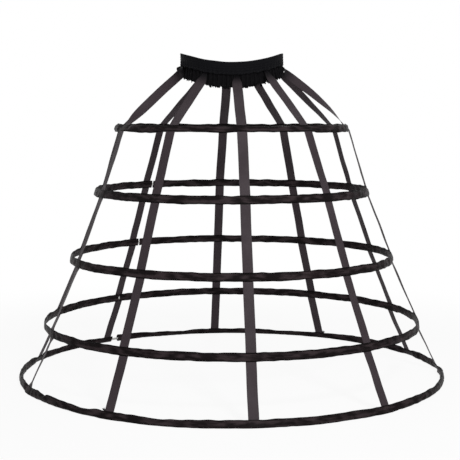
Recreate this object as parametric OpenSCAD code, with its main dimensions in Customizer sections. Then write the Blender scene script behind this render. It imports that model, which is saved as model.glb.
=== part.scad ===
// Crinoline cage: five boned hoops hung on ten ribbon straps from a gathered waistband.
// Millimetres, +Z up, front towards -Y. It stands on the lower edge of its bottom casing at Z = 0.

/* [Hoops] */
// Diameter of the top hoop over its casing
hoop1_d = 541; // [515:1:570]
// Diameter of the second hoop over its casing
hoop2_d = 642; // [620:1:670]
// Diameter of the third hoop over its casing
hoop3_d = 758; // [730:1:790]
// Diameter of the fourth hoop over its casing
hoop4_d = 883; // [850:1:910]
// Diameter of the bottom hoop over its casing
hoop5_d = 995; // [960:1:1035]

/* [Heights] */
// Rise from the bottom hoop to the fourth
rise54 = 122; // [105:1:145]
// Rise from the fourth hoop to the third
rise43 = 153; // [130:1:175]
// Rise from the third hoop to the second
rise32 = 154; // [130:1:175]
// Rise from the second hoop to the top one
rise21 = 147; // [125:1:170]
// Rise from the top hoop to the front of the waistband's upper edge
rise_waist = 148; // [135:1:165]

/* [Hoop casings] */
// Flat height of the four upper casings
casing_w = 18.5; // [17:0.5:22]
// Flat height of the bottom casing
hem_casing_w = 17; // [15:0.5:20]
// Cloth thickness of a casing
casing_wall = 0.5; // [0.4:0.05:0.7]
// Lean of the top casing from the upright
lean1 = 45; // [30:1:50]
// Lean of the second casing
lean2 = 15; // [5:1:25]
// Lean of the third casing
lean3 = 9; // [0:1:25]
// Lean of the fourth casing
lean4 = 4; // [0:1:25]
// Lean of the bottom casing
lean5 = 30; // [15:1:35]
// Open slit of the bottom casing beside the back left strap
hem_slit = 19; // [4:1:25]
// Slit where the ends of the other casings meet
casing_slit = 4; // [2:0.5:6]
// Distance of a slit from the strap that it lies beside
slit_set = 6; // [0:0.5:12]

/* [Hoop bones] */
// Height of a bone strip
bone_w = 7; // [6:0.5:8]
// Thickness of a bone strip
bone_t = 0.8; // [0.6:0.1:1]
// Length of the sleeve that joins a bone's ends
joiner_len = 26; // [20:1:34]
// Wall of that sleeve
joiner_wall = 0.4; // [0.3:0.05:0.5]
// Gap between a bone's two ends
bone_end_gap = 1; // [0.5:0.5:3]

/* [Waistband] */
// Width of the band, side to side
waist_w = 240; // [225:1:260]
// Depth of the band, front to back
waist_d = 192; // [180:1:210]
// Drop of the band's front and back below its sides
waist_dip = 24; // [10:1:30]
// Height of the elastic
elastic_w = 28; // [24:0.5:34]
// Thickness of the elastic
elastic_t = 2; // [1.5:0.1:2.5]
// Number of ribs woven along the elastic
elastic_ribs = 5; // [3:1:6]
// Depth of the grooves between the ribs
rib_depth = 0.3; // [0.1:0.05:0.5]

/* [Ruffle] */
// Hang of the ruffle below the elastic
ruffle_drop = 26; // [20:0.5:32]
// Thickness of the ruffle's cloth
ruffle_t = 0.9; // [0.7:0.1:1.2]
// Number of gathers round the ruffle
gathers = 66; // [48:1:72]
// Depth of a gather at the seam
gather_start = 0.4; // [0.2:0.1:0.6]
// Depth of a gather at the lower edge
gather_depth = 3.4; // [2:0.1:4]
// Outward flare of the lower edge
ruffle_flare = 4; // [2:0.5:6]
// Raggedness of the lower edge
ruffle_rag = 1.6; // [0:0.1:2.5]

/* [Straps] */
// Width of a strap
strap_w = 22; // [18:0.5:24]
// Thickness of a strap
strap_t = 0.9; // [0.7:0.1:1.1]
// Length of a strap's end behind the elastic
tuck = 12; // [8:1:16]
// Length of a strap's end inside the bottom casing
hem_tuck = 13; // [8:0.5:14]

/* [Fits] */
// Clearance between cloth pieces that are sewn together
sew_gap = 0.3; // [0.25:0.05:0.4]
// Clearance round a bone in its sleeve, and round the sleeve in its casing
bone_gap = 0.25; // [0.2:0.05:0.35]

/* [Hidden] */
$fn = 120;
SATIN = [0.10, 0.10, 0.11];
RIBBON = [0.27, 0.25, 0.27];
RUBBER = [0.07, 0.07, 0.08];
FRILL = [0.08, 0.08, 0.09];
STEEL = [0.80, 0.80, 0.79];
BRASS = [0.55, 0.52, 0.45];

// Places of each strap in degrees from the front centre towards the right:
// at the waist, at the top hoop, and from the second hoop down
FRONT_CENTRE = [5, 4.5, 5];
FRONT_RIGHT = [41, 36.5, 40];
RIGHT = [91, 93, 93];
BACK_RIGHT_OUTER = [108, 115, 114];
BACK_RIGHT = [155, 151.5, 150.5];
BACK_CENTRE = [185, 184.5, 185.5];
BACK_LEFT = [212, 220.5, 223];
LEFT_BACK = [262, 256, 256];
LEFT = [284, 297.5, 296];
FRONT_LEFT = [330, 332.5, 330];
STRAPS = [
    FRONT_CENTRE, FRONT_RIGHT, RIGHT, BACK_RIGHT_OUTER, BACK_RIGHT,
    BACK_CENTRE, BACK_LEFT, LEFT_BACK, LEFT, FRONT_LEFT
];
JOINER_PLACE = 203;

// How much flatter than its chord a side strap leaves the waistband
side_spring = 6;
// How far straps turn about their own line below the waistband
right_turn = 68;
left_turn = -85;
front_turn = 28;
back_turn = 32;
// How long they hold that turn: 1 lets it run out evenly, and more keeps it nearer to the top hoop
right_hold = 1.6;
left_hold = 2.5;
front_hold = 2;
back_hold = 1.5;

hoops = [0, 1, 2, 3, 4];
hem = 4;
lean = [lean1, lean2, lean3, lean4, lean5];

// Section of a casing: a channel for the bone and its sleeve, with a flat outer layer over the straps
channel_t = bone_t + 2 * joiner_wall + 4 * bone_gap;
channel_w = bone_w + 2 * joiner_wall + 4 * bone_gap;
half_flat = channel_w / 2 + casing_wall;
half_w = [for (i = hoops) (i == hem ? hem_casing_w : casing_w) / 2];
bone_face = bone_t / 2;
strap_out = sew_gap + strap_t;
layer_out = max(bone_face + strap_out + sew_gap, channel_t / 2) + casing_wall;
layer_in = channel_t / 2 + casing_wall;
edge_in = bone_face - casing_wall;

hoop_d = [hoop1_d, hoop2_d, hoop3_d, hoop4_d, hoop5_d];
hoop_r = [for (i = hoops) hoop_d[i] / 2 - layer_out * cos(lean[i])];
hem_z = half_w[hem] * cos(lean[hem]) - edge_in * sin(lean[hem]);
hoop_z = [
    hem_z + rise54 + rise43 + rise32 + rise21,
    hem_z + rise54 + rise43 + rise32,
    hem_z + rise54 + rise43,
    hem_z + rise54,
    hem_z
];
waist_z = hoop_z[0] + rise_waist;

// The curve of a strap from the waist to the top hoop: its steps, and the length over which it bends out
bow_steps = 10;
bow_root = strap_w;

// Directions in plan, at an angle from the front centre
function outward(a) = [sin(a), -cos(a)];
function along(a) = [cos(a), sin(a)];
function unit(v) = v / norm(v);

// A point of a casing's leaning section, from its own thickness and height, as radius and height
function on_casing(i, p) = [
    hoop_r[i] + p[0] * cos(lean[i]) - p[1] * sin(lean[i]),
    hoop_z[i] + p[0] * sin(lean[i]) + p[1] * cos(lean[i])
];

// Where a strap goes into a casing and comes out below it
function way_in(i) = on_casing(i, [bone_face, half_w[i] + 2 * sew_gap]);
function way_out(i) = on_casing(i, [bone_face, i == hem ? half_w[i] - hem_tuck : -half_w[i] - 2 * sew_gap]);
bow_end = way_in(0)[0];

// The waist's oval, its outward normal, tangent and radius of curvature
function oval(a) = [waist_w / 2 * sin(a), -waist_d / 2 * cos(a)];
function oval_normal(a) = unit([waist_d * sin(a), -waist_w * cos(a)]);
function oval_tangent(a) = unit([waist_w * cos(a), waist_d * sin(a)]);
function oval_bend(a) =
    pow(norm([waist_w / 2 * cos(a), waist_d / 2 * sin(a)]), 3) / (waist_w * waist_d / 4);
function band_top(a) = waist_z + waist_dip * pow(sin(a), 2);
function band_seam(a) = band_top(a) - elastic_w;
function seam_slope(a) = waist_dip * sin(2 * a) / norm([waist_w / 2 * cos(a), waist_d / 2 * sin(a)]);

// How far a flat strap stands off the curved inside of the elastic
function stand_off(a) = pow(strap_w / 2, 2) / 2 / (oval_bend(a) - elastic_t);
function strap_layer(a) = elastic_t + stand_off(a) + sew_gap + strap_out;

// One closed skin over rings of points, each ring with the same count.
// The second half of a ring is the cloth's other side, and its diagonals run the same way.
function skin_faces(rings, count, closed) = [
    for (j = [0 : rings - (closed ? 1 : 2)])
        for (k = [0 : count - 1])
            let (
                n = (j + 1) % rings,
                m = (k + 1) % count,
                a = j * count + k,
                b = j * count + m,
                c = n * count + m,
                d = n * count + k
            )
            each k < count / 2 ? [[a, b, c], [a, c, d]] : [[a, b, d], [b, c, d]]
];

module skin(rings, closed) {
    count = len(rings[0]);
    points = [for (r = rings) each r];
    last = (len(rings) - 1) * count;
    caps = closed ? [] : [
        [for (k = [count - 1 : -1 : 0]) k],
        [for (k = [0 : count - 1]) last + k]
    ];
    polyhedron(points, concat(skin_faces(len(rings), count, closed), caps), convexity = 10);
}

// A line of radius and height points moved sideways by a distance, with mitred corners
function line_normal(p, q) = unit([p[1] - q[1], q[0] - p[0]]);
function moved(line, d) = [
    for (j = [0 : len(line) - 1])
        let (
            before = line_normal(line[max(j - 1, 0)], line[max(j, 1)]),
            after = line_normal(line[min(j, len(line) - 2)], line[min(j + 1, len(line) - 1)]),
            mitre = unit(before + after)
        )
            line[j] + mitre * d / (mitre * before)
];

function curve_point(p, t) =
    pow(1 - t, 3) * p[0] + 3 * pow(1 - t, 2) * t * p[1] + 3 * (1 - t) * t * t * p[2] + t * t * t * p[3];

// The bow of a strap's back from the elastic's lower edge to the top hoop
function strap_bow(seam, start, spring) =
    let (
        from = [start, seam],
        to = way_in(0),
        fall = atan2(from[1] - to[1], to[0] - from[0])
    )
    [
        from,
        from + bow_root * [cos(fall - spring), -sin(fall - spring)],
        to - norm(to - from) / 3 * [cos(fall), -sin(fall)],
        to
    ];

// The line of a strap's back, from behind the elastic through the casings to its end in the bottom one
function strap_line(seam, start, spring) =
    let (bow = strap_bow(seam - strap_out, start, spring))
    [
        [start, seam + tuck],
        for (k = [0 : bow_steps]) curve_point(bow, k / bow_steps),
        way_out(0),
        for (i = [1 : hem]) each [way_in(i), way_out(i)]
    ];

// The hoop that a point of that line belongs to
function hoop_of(j) = max(floor((j - bow_steps - 1) / 2), 0);

// The angle of a strap at a hoop
function strap_angle(place, i) = place[min(i + 1, 2)];

// A strap's point from its radius and height; above the top hoop it runs straight to the waist
function strap_point(place, course, j, p) =
    j <= bow_steps
        ? [each outward(place[1]) * bow_end + course * (p[0] - bow_end), p[1]]
        : [each outward(strap_angle(place, hoop_of(j))) * p[0], p[1]];

module strap(place, spring = 0, turn = 0, hold = 1) {
    a = place[0];
    span = outward(place[1]) * bow_end - oval(a) + oval_normal(a) * strap_layer(a);
    course = unit(span);
    start = bow_end - norm(span);
    line = strap_line(band_seam(a), start, spring);
    back = moved(line, sew_gap);
    face = moved(line, strap_out);
    last = len(line) - 1;
    rings = [
        for (j = [0 : last])
            let (
                share = min(max((line[j][0] - start) / (bow_end - start), 0), 1),
                under = strap_point(place, course, j, back[j]),
                over = strap_point(place, course, j, face[j]),
                run = unit(strap_point(place, course, j, line[min(j + 1, last)]) -
                    strap_point(place, course, j, line[max(j - 1, 0)])),
                upper = [each oval_tangent(a), seam_slope(a)],
                lower = [each along(strap_angle(place, hoop_of(j))), 0],
                flat = unit(upper * (1 - share) + lower * share),
                across = j > 1 && j <= bow_steps ? unit(flat - run * (flat * run)) : flat,
                twist = j > 2 && j <= bow_steps ? turn * (1 - pow(share, hold)) : 0,
                middle = (under + over) / 2,
                thick = (over - under) / 2,
                side = (across * cos(twist) + unit(thick) * sin(twist)) * strap_w / 2,
                rise = thick * cos(twist) - across * norm(thick) * sin(twist)
            )
            [middle - side - rise, middle - side + rise, middle + side + rise, middle + side - rise]
    ];
    color(RIBBON)
        skin(rings, false);
}

// A turned ring on a hoop's leaning section, left open over part of its run
module hoop_ring(i, from_place, open_len) {
    open_angle = open_len / (hoop_d[i] / 2) * 180 / PI;
    rotate([0, 0, from_place - 90 + open_angle / 2])
        rotate_extrude(angle = 360 - open_angle)
            translate([hoop_r[i], hoop_z[i]])
                rotate(lean[i])
                    children();
}

// The way of a strap between a casing's bone and its outer layer, closed below in the bottom casing
module strap_slot(i, place) {
    wide = strap_w + 2 * sew_gap;
    foot = i == hem ? half_w[i] - hem_tuck - sew_gap : -half_w[i] - strap_out;
    rotate([0, 0, strap_angle(place, i) - 90])
        translate([hoop_r[i], 0, hoop_z[i]])
            rotate([0, -lean[i], 0])
                translate([bone_face, -wide / 2, foot])
                    cube([strap_out + sew_gap, wide, half_w[i] + strap_out - foot]);
}

// The bottom casing's lower edge is level, so that the cage stands on it
module casing(i, slit, beside) {
    shift = beside ? ((strap_w + slit) / 2 + slit_set) / (hoop_d[i] / 2) * 180 / PI : 0;
    foot = half_w[i] + (i == hem ? (layer_out - edge_in) * tan(lean[i]) + strap_out : 0);
    color(SATIN)
        difference() {
            hoop_ring(i, strap_angle(BACK_LEFT, i) - shift, slit)
                difference() {
                    polygon([
                        [layer_out, -foot],
                        [layer_out, half_w[i]],
                        [edge_in, half_w[i]],
                        [-layer_in, half_flat],
                        [-layer_in, -half_flat],
                        [edge_in, -foot]
                    ]);
                    square([channel_t, channel_w], center = true);
                }
            for (place = STRAPS)
                strap_slot(i, place);
            if (i == hem)
                translate([0, 0, -hem_casing_w])
                    cylinder(d = 2 * hoop5_d, h = hem_casing_w);
        }
}

module bone(i) {
    color(STEEL)
        hoop_ring(i, JOINER_PLACE, bone_end_gap)
            square([bone_t, bone_w], center = true);
}

module joiner(i) {
    room = 2 * bone_gap;
    around = PI * hoop_d[i];
    color(BRASS)
        hoop_ring(i, JOINER_PLACE + 180, around - joiner_len)
            difference() {
                square([bone_t + room + 2 * joiner_wall, bone_w + room + 2 * joiner_wall], center = true);
                square([bone_t + room, bone_w + room], center = true);
            }
}

module waist_elastic() {
    stations = 96;
    rows = 2 * elastic_ribs;
    color(RUBBER)
        skin([
            for (j = [0 : stations - 1])
                let (a = j * 360 / stations, n = oval_normal(a), inside = oval(a) - n * elastic_t)
                [
                    [each inside, band_seam(a)],
                    for (k = [0 : rows])
                        let (groove = k % 2 == 0 ? rib_depth : 0)
                        [each oval(a) - n * groove, band_seam(a) + elastic_w * k / rows],
                    [each inside, band_top(a)]
                ]
        ], true);
}

// Gathers run unevenly round the strip: their spacing and depth drift in slow waves
function gather_wave(a) = sin(gathers * a + 38 * sin(3 * a) + 26 * sin(7 * a + 50));
function gather_swell(a) = 0.8 + 0.2 * sin(5 * a + 20) * sin(11 * a);
function gather_rag(a) = ruffle_rag * (sin(23 * a + 70) + sin(41 * a)) / 2;

// The ruffle's middle surface at an angle, from its upper edge at 0 to its lower edge at 1
function ruffle_offset(a, share) =
    let (
        open = pow(max(share, 0), 1.4),
        depth = gather_start + (gather_depth - gather_start) * open
    )
    ruffle_flare * open + depth * (gather_swell(a) * gather_wave(a) - 1 + 0.6 * open);

module waist_ruffle() {
    stations = 6 * gathers;
    shares = [-tuck / ruffle_drop, 0.05, 0.5, 1];
    color(FRILL)
        skin([
            for (j = [0 : stations - 1])
                let (
                    a = j * 360 / stations,
                    n = oval_normal(a),
                    base = oval(a) - n * (strap_layer(a) + ruffle_t)
                )
                [
                    for (side = [0, 1])
                        for (k = [0 : len(shares) - 1])
                            let (
                                share = shares[side == 0 ? k : len(shares) - 1 - k],
                                p = base + n * (ruffle_offset(a, share) + side * ruffle_t),
                                hang = ruffle_drop + (share == 1 ? gather_rag(a) : 0)
                            )
                            [p[0], p[1], band_seam(a) - share * hang]
                ]
        ], true);
}

module strap_front_centre() { strap(FRONT_CENTRE); }
module strap_front_right() { strap(FRONT_RIGHT, 0, -front_turn, front_hold); }
module strap_right() { strap(RIGHT, side_spring, right_turn, right_hold); }
module strap_back_right_outer() { strap(BACK_RIGHT_OUTER, 0, -back_turn, back_hold); }
module strap_back_right() { strap(BACK_RIGHT); }
module strap_back_centre() { strap(BACK_CENTRE); }
module strap_back_left() { strap(BACK_LEFT); }
module strap_left_back() { strap(LEFT_BACK); }
module strap_left() { strap(LEFT, side_spring, left_turn, left_hold); }
module strap_front_left() { strap(FRONT_LEFT, 0, front_turn, front_hold); }

module casing_1() { casing(0, casing_slit, false); }
module casing_2() { casing(1, casing_slit, true); }
module casing_3() { casing(2, casing_slit, true); }
module casing_4() { casing(3, casing_slit, false); }
module casing_5() { casing(4, hem_slit, true); }

module bone_1() { bone(0); }
module bone_2() { bone(1); }
module bone_3() { bone(2); }
module bone_4() { bone(3); }
module bone_5() { bone(4); }

module joiner_1() { joiner(0); }
module joiner_2() { joiner(1); }
module joiner_3() { joiner(2); }
module joiner_4() { joiner(3); }
module joiner_5() { joiner(4); }

waist_elastic();
waist_ruffle();
strap_front_centre();
strap_front_right();
strap_right();
strap_back_right_outer();
strap_back_right();
strap_back_centre();
strap_back_left();
strap_left_back();
strap_left();
strap_front_left();
casing_1();
casing_2();
casing_3();
casing_4();
casing_5();
bone_1();
bone_2();
bone_3();
bone_4();
bone_5();
joiner_1();
joiner_2();
joiner_3();
joiner_4();
joiner_5();
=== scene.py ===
"""Crinoline cage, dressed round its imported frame.

Five boned hoops hang on ten ribbon straps from an oval elastic waistband with a gathered frill.
Lengths are in metres, and angles in radians unless a name or comment says degrees. +Z is up, -Y front.
"""

import logging
import math
from abc import ABC, abstractmethod
from dataclasses import dataclass, field
from enum import Enum
from functools import cached_property

import bpy
import numpy as np
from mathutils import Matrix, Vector, noise


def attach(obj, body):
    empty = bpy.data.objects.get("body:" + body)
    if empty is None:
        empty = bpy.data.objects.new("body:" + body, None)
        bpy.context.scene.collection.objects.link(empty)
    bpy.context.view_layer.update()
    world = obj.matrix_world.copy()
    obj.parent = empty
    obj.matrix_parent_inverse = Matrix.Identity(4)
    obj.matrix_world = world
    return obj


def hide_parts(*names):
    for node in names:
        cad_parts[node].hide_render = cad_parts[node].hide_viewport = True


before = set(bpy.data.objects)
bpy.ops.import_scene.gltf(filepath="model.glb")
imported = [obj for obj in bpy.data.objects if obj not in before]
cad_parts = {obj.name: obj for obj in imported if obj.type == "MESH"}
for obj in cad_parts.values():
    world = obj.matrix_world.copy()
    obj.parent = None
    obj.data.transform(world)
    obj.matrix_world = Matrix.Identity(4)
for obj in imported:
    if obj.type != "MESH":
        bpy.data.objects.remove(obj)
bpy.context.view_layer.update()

BODY = "root"
MM = 0.001
FULL_TURN = 2.0 * math.pi
SHARP_EDGE = math.radians(52.0)
WHITE = (1.0, 1.0, 1.0, 1.0)
LOG = logging.getLogger("crinoline_cage")

Colour = tuple[float, float, float, float]
Span = tuple[float, float]
Socket = bpy.types.NodeSocket


class Slot(Enum):
    """Names of material slots for cloth and thread, which the script passes along but does not use."""

    ELASTIC = "elastic"
    FRILL = "frill"
    RIBBON = "ribbon"
    CASING = "casing"


class Hold(Enum):
    """Ways in which a sheet of cloth is held."""

    FOLDED = "folded"
    GATHERED = "gathered"
    HUNG = "hung"
    STRETCHED = "stretched"


class Place(Enum):
    """The ten straps: label, degrees at waist, top hoop and hem, then spring, turn, hold and lower turn."""

    FRONT_CENTRE = ("front_centre", (5.0, 4.5, 5.0), 0.0, 0.0, 1.0, 0.0)
    FRONT_RIGHT = ("front_right", (41.0, 36.5, 40.0), 0.0, 2.0, 2.0, 0.0)
    RIGHT = ("right", (91.0, 93.0, 93.0), 11.0, 63.0, 2.4, 0.0)
    BACK_RIGHT_OUTER = ("back_right_outer", (111.0, 115.0, 114.0), 0.0, -24.0, 1.5, 0.0)
    BACK_RIGHT = ("back_right", (155.0, 151.5, 150.5), 0.0, 0.0, 1.0, 0.0)
    BACK_CENTRE = ("back_centre", (185.0, 184.5, 185.5), 0.0, 0.0, 1.0, 0.0)
    BACK_LEFT = ("back_left", (212.0, 220.5, 223.0), 0.0, 12.0, 1.5, 0.0)
    LEFT_BACK = ("left_back", (262.0, 256.0, 256.0), 0.0, 0.0, 1.0, 0.0)
    LEFT = ("left", (284.0, 297.5, 295.1), 4.0, -85.0, 4.0, 13.0)
    FRONT_LEFT = ("front_left", (330.0, 331.7, 329.7), 0.0, -12.0, 2.0, 0.0)

    def __init__(
        self, label: str, degrees: tuple[float, float, float],
        spring: float, turn: float, hold: float, lower_turn: float
    ) -> None:
        """Keeps a strap's label, its angles and its way of turning.

        Args:
            label: the strap's name without its prefix.
            degrees: places at the waist, at the top hoop and from the second hoop down.
            spring: degrees by which it leaves the waistband flatter, and lands steeper, than its chord.
            turn: degrees by which it turns about its own line below the waistband.
            hold: how long it holds that turn, where 1 lets it run out evenly down to the top hoop.
            lower_turn: degrees to which its turn between the hoops grows towards the hem.
        """
        self.label = label
        self.waist, self.top, self.foot = (math.radians(angle) for angle in degrees)
        self.spring = math.radians(spring)
        self.turn = math.radians(turn)
        self.hold = hold
        self.lower_turn = math.radians(lower_turn)

    @property
    def node(self) -> str:
        """Name of the strap's CAD node."""
        return f"strap_{self.label}"


def unit(vectors: np.ndarray) -> np.ndarray:
    """Scales vectors, which lie along the last axis, to a length of one."""
    return vectors / np.linalg.norm(vectors, axis=-1, keepdims=True)


def smooth(value: np.ndarray | float, low: float, high: float) -> np.ndarray:
    """Steps smoothly from 0 at the low value to 1 at the high one."""
    share = np.clip((np.asarray(value, float) - low) / (high - low), 0.0, 1.0)
    return share * share * (3.0 - 2.0 * share)


def running(steps: np.ndarray) -> np.ndarray:
    """Adds up steps one after the other, from zero."""
    return np.concatenate([[0.0], np.cumsum(steps)])


def wrapped(angle: np.ndarray) -> np.ndarray:
    """Brings angles to within half a turn of zero."""
    return (angle + math.pi) % FULL_TURN - math.pi


def cut_places(across: np.ndarray, along: np.ndarray) -> np.ndarray:
    """Pairs every place across a flat cut with every place along it."""
    return np.stack(np.broadcast_arrays(across[None, :], along[:, None]), -1)


def linear(red: int, green: int, blue: int) -> Colour:
    """Turns a screen colour into the linear one that shaders take, by the sRGB curve's fixed numbers.

    Args:
        red: red from 0 to 255.
        green: green from 0 to 255.
        blue: blue from 0 to 255.

    Returns:
        The linear colour, with full opacity.
    """
    shares = [channel / 255.0 for channel in (red, green, blue)]
    low = [share / 12.92 for share in shares]
    high = [((share + 0.055) / 1.055) ** 2.4 for share in shares]
    return (*(h if s > 0.04045 else l for s, l, h in zip(shares, low, high)), 1.0)


@dataclass(frozen=True)
class Drift:
    """A slow, repeatable wandering along a cloth: its reach, the length of one swing, and its own seed."""

    reach: float
    swing: float
    seed: float

    def along(self, places: np.ndarray, side: float = 0.0) -> np.ndarray:
        """Wandering at distances along a cloth, where side tells one strip from another."""
        values = [noise.noise(Vector((place / self.swing, side, self.seed))) for place in places]
        return self.reach * np.array(values)


@dataclass(frozen=True)
class CageForm:
    """The cage's driving sizes, as in its solids, and the places that follow from them."""

    hoop_d: tuple[float, ...] = (0.541, 0.642, 0.758, 0.883, 0.995)
    rises: tuple[float, ...] = (0.147, 0.154, 0.153, 0.122)
    rise_waist: float = 0.148
    leans_degrees: tuple[float, ...] = (45.0, 15.0, 9.0, 4.0, 30.0)
    casing_w: float = 18.5 * MM
    hem_casing_w: float = 17.0 * MM
    casing_wall: float = 0.5 * MM
    hem_slit: float = 19.0 * MM
    casing_slit: float = 4.0 * MM
    slit_set: float = 6.0 * MM
    slits_under_strap: tuple[int, ...] = (0, 3)
    bone_w: float = 7.0 * MM
    bone_t: float = 0.8 * MM
    joiner_wall: float = 0.4 * MM
    joiner_len: float = 26.0 * MM
    joiner_angle: float = math.radians(203.0)
    bone_gap: float = 0.25 * MM
    waist_w: float = 0.240
    waist_d: float = 0.192
    waist_dip: float = 24.0 * MM
    elastic_w: float = 28.0 * MM
    elastic_t: float = 2.0 * MM
    elastic_ribs: int = 5
    ruffle_drop: float = 26.0 * MM
    ruffle_t: float = 0.9 * MM
    ruffle_flare: float = 4.0 * MM
    gathers: int = 66
    # Slow waves in the gathers' spacing: reach, number round the waist and start, in degrees
    gather_waves: tuple[tuple[float, int, float], ...] = ((38.0, 3, 0.0), (26.0, 7, 50.0))
    gather_depth: float = 3.4 * MM
    strap_w: float = 22.0 * MM
    strap_t: float = 0.9 * MM
    tuck: float = 12.0 * MM
    hem_tuck: float = 13.0 * MM
    sew_gap: float = 0.3 * MM

    @property
    def hem(self) -> int:
        """Number of the bottom hoop."""
        return len(self.hoop_d) - 1

    @property
    def channel(self) -> float:
        """Half the thickness of the room for a bone and its sleeve."""
        return self.bone_t / 2 + self.joiner_wall + 2 * self.bone_gap

    @property
    def half_flat(self) -> float:
        """Half the height of a casing's flat stretch over its bone."""
        return self.bone_w / 2 + self.joiner_wall + 2 * self.bone_gap + self.casing_wall

    @property
    def strap_out(self) -> float:
        """Distance from what a strap lies on to the strap's face."""
        return self.sew_gap + self.strap_t

    @property
    def bone_face(self) -> float:
        """Distance from a casing's centre line to the bone's outer face."""
        return self.bone_t / 2

    @property
    def layer_out(self) -> float:
        """Distance from a casing's centre line to its outer face."""
        return max(self.bone_face + self.strap_out + self.sew_gap, self.channel) + self.casing_wall

    @property
    def waist_r(self) -> float:
        """Mean radius of the waist's oval."""
        return (self.waist_w + self.waist_d) / 4

    @cached_property
    def leans(self) -> tuple[float, ...]:
        """Each casing's lean from the upright."""
        return tuple(math.radians(lean) for lean in self.leans_degrees)

    @cached_property
    def hoop_r(self) -> tuple[float, ...]:
        """Radius of each bone."""
        return tuple(d / 2 - self.layer_out * math.cos(lean) for d, lean in zip(self.hoop_d, self.leans))

    @cached_property
    def hoop_z(self) -> tuple[float, ...]:
        """Height of each bone.

        Returns:
            Heights above the floor, from the top hoop down.
        """
        lean = self.leans[self.hem]
        lift = self.half_w(self.hem) * math.cos(lean) - (self.bone_face - self.casing_wall) * math.sin(lean)
        return tuple(lift + sum(self.rises[i:]) for i in range(self.hem + 1))

    def half_w(self, hoop: int) -> float:
        """Half the height of a casing."""
        return (self.hem_casing_w if hoop == self.hem else self.casing_w) / 2

    @property
    def waist_z(self) -> float:
        """Height of the waistband's upper edge at the front."""
        return self.hoop_z[0] + self.rise_waist

    def slit(self, hoop: int) -> Span:
        """Finds where a casing is left open.

        Args:
            hoop: number of the hoop, from the top.

        Returns:
            The angle of the slit's middle and half the angle that it takes up.
        """
        width = self.hem_slit if hoop == self.hem else self.casing_slit
        radius = self.hoop_d[hoop] / 2
        beside = (self.strap_w + width) / 2 + self.slit_set
        shift = 0.0 if hoop in self.slits_under_strap else beside / radius
        return self.strap_angle(Place.BACK_LEFT, hoop) - shift, width / 2 / radius

    def strap_angle(self, place: Place, hoop: int) -> float:
        """Angle of a strap at a hoop."""
        return place.top if hoop == 0 else place.foot

    def way_in(self, hoop: int) -> Span:
        """Radius and height at which a strap's back goes into a casing."""
        return self.on_casing(hoop, self.bone_face, self.half_w(hoop) + 2 * self.sew_gap)

    def way_out(self, hoop: int) -> Span:
        """Finds where a strap's back comes out below a casing, or ends in the bottom one.

        Args:
            hoop: number of the hoop, from the top.

        Returns:
            The place's radius and height above the floor.
        """
        below = self.half_w(hoop) + 2 * self.sew_gap
        height = self.half_w(hoop) - self.hem_tuck if hoop == self.hem else -below
        return self.on_casing(hoop, self.bone_face, height)

    def on_casing(self, hoop: int, thickness: float, height: float) -> Span:
        """Finds a point of a casing's leaning section.

        Args:
            hoop: number of the hoop, from the top.
            thickness: distance outwards from the casing's centre line.
            height: distance up the casing from its centre line.

        Returns:
            The point's radius and height above the floor.
        """
        lean = self.leans[hoop]
        return (
            self.hoop_r[hoop] + thickness * math.cos(lean) - height * math.sin(lean),
            self.hoop_z[hoop] + thickness * math.sin(lean) + height * math.cos(lean),
        )

    def outward(self, angle: np.ndarray | float) -> np.ndarray:
        """Direction straight out from the cage's axis."""
        return np.stack([np.sin(angle), -np.cos(angle), np.zeros_like(angle, float)], axis=-1)

    def round(self, angle: np.ndarray | float) -> np.ndarray:
        """Direction round the cage, towards growing angles."""
        return np.stack([np.cos(angle), np.sin(angle), np.zeros_like(angle, float)], axis=-1)

    def oval(self, angle: np.ndarray | float) -> np.ndarray:
        """Point of the waist's oval, at floor height."""
        return self.outward(angle) * np.array([self.waist_w / 2, self.waist_d / 2, 0.0])

    def oval_tangent(self, angle: np.ndarray | float) -> np.ndarray:
        """Direction along the waist's oval."""
        return unit(self.round(angle) * np.array([self.waist_w, self.waist_d, 0.0]))

    def oval_normal(self, angle: np.ndarray | float) -> np.ndarray:
        """Direction straight out of the waist's oval."""
        return unit(self.outward(angle) * np.array([self.waist_d, self.waist_w, 0.0]))

    def oval_rate(self, angle: np.ndarray | float) -> np.ndarray:
        """Length of the waist's oval for each radian."""
        return np.hypot(self.waist_w / 2 * np.cos(angle), self.waist_d / 2 * np.sin(angle))

    def band_top(self, angle: np.ndarray | float) -> np.ndarray:
        """Height of the elastic's upper edge."""
        return self.waist_z + self.waist_dip * np.sin(angle) ** 2

    def band_seam(self, angle: np.ndarray | float) -> np.ndarray:
        """Height of the elastic's lower edge."""
        return self.band_top(angle) - self.elastic_w

    def seam_slope(self, angle: float) -> float:
        """Slope of the elastic's edges along the oval."""
        return float(self.waist_dip * math.sin(2 * angle) / self.oval_rate(angle))

    def strap_layer(self, angle: np.ndarray | float) -> np.ndarray:
        """Finds how deep a strap's line lies behind the waist's oval.

        Args:
            angle: places round the waist.

        Returns:
            The depth at each place.
        """
        bend = self.oval_rate(angle) ** 3 / (self.waist_w * self.waist_d / 4)
        stand_off = (self.strap_w / 2) ** 2 / 2 / (bend - self.elastic_t)
        return self.elastic_t + stand_off + self.sew_gap + self.strap_out

    def strap_distance(self, angle: np.ndarray, straps: list[float], radius: float) -> np.ndarray:
        """Distances along a ring from places on it to the nearest strap's middle."""
        return np.min([np.abs(wrapped(angle - strap)) for strap in straps], axis=0) * radius

    def gather_phase(self, angle: np.ndarray) -> np.ndarray:
        """Finds the phase of the frill's gathers.

        Args:
            angle: places round the waist.

        Returns:
            The phase at each place.
        """
        phase = self.gathers * angle
        for reach, waves, start in self.gather_waves:
            phase = phase + math.radians(reach) * np.sin(waves * angle + math.radians(start))
        return phase


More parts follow.
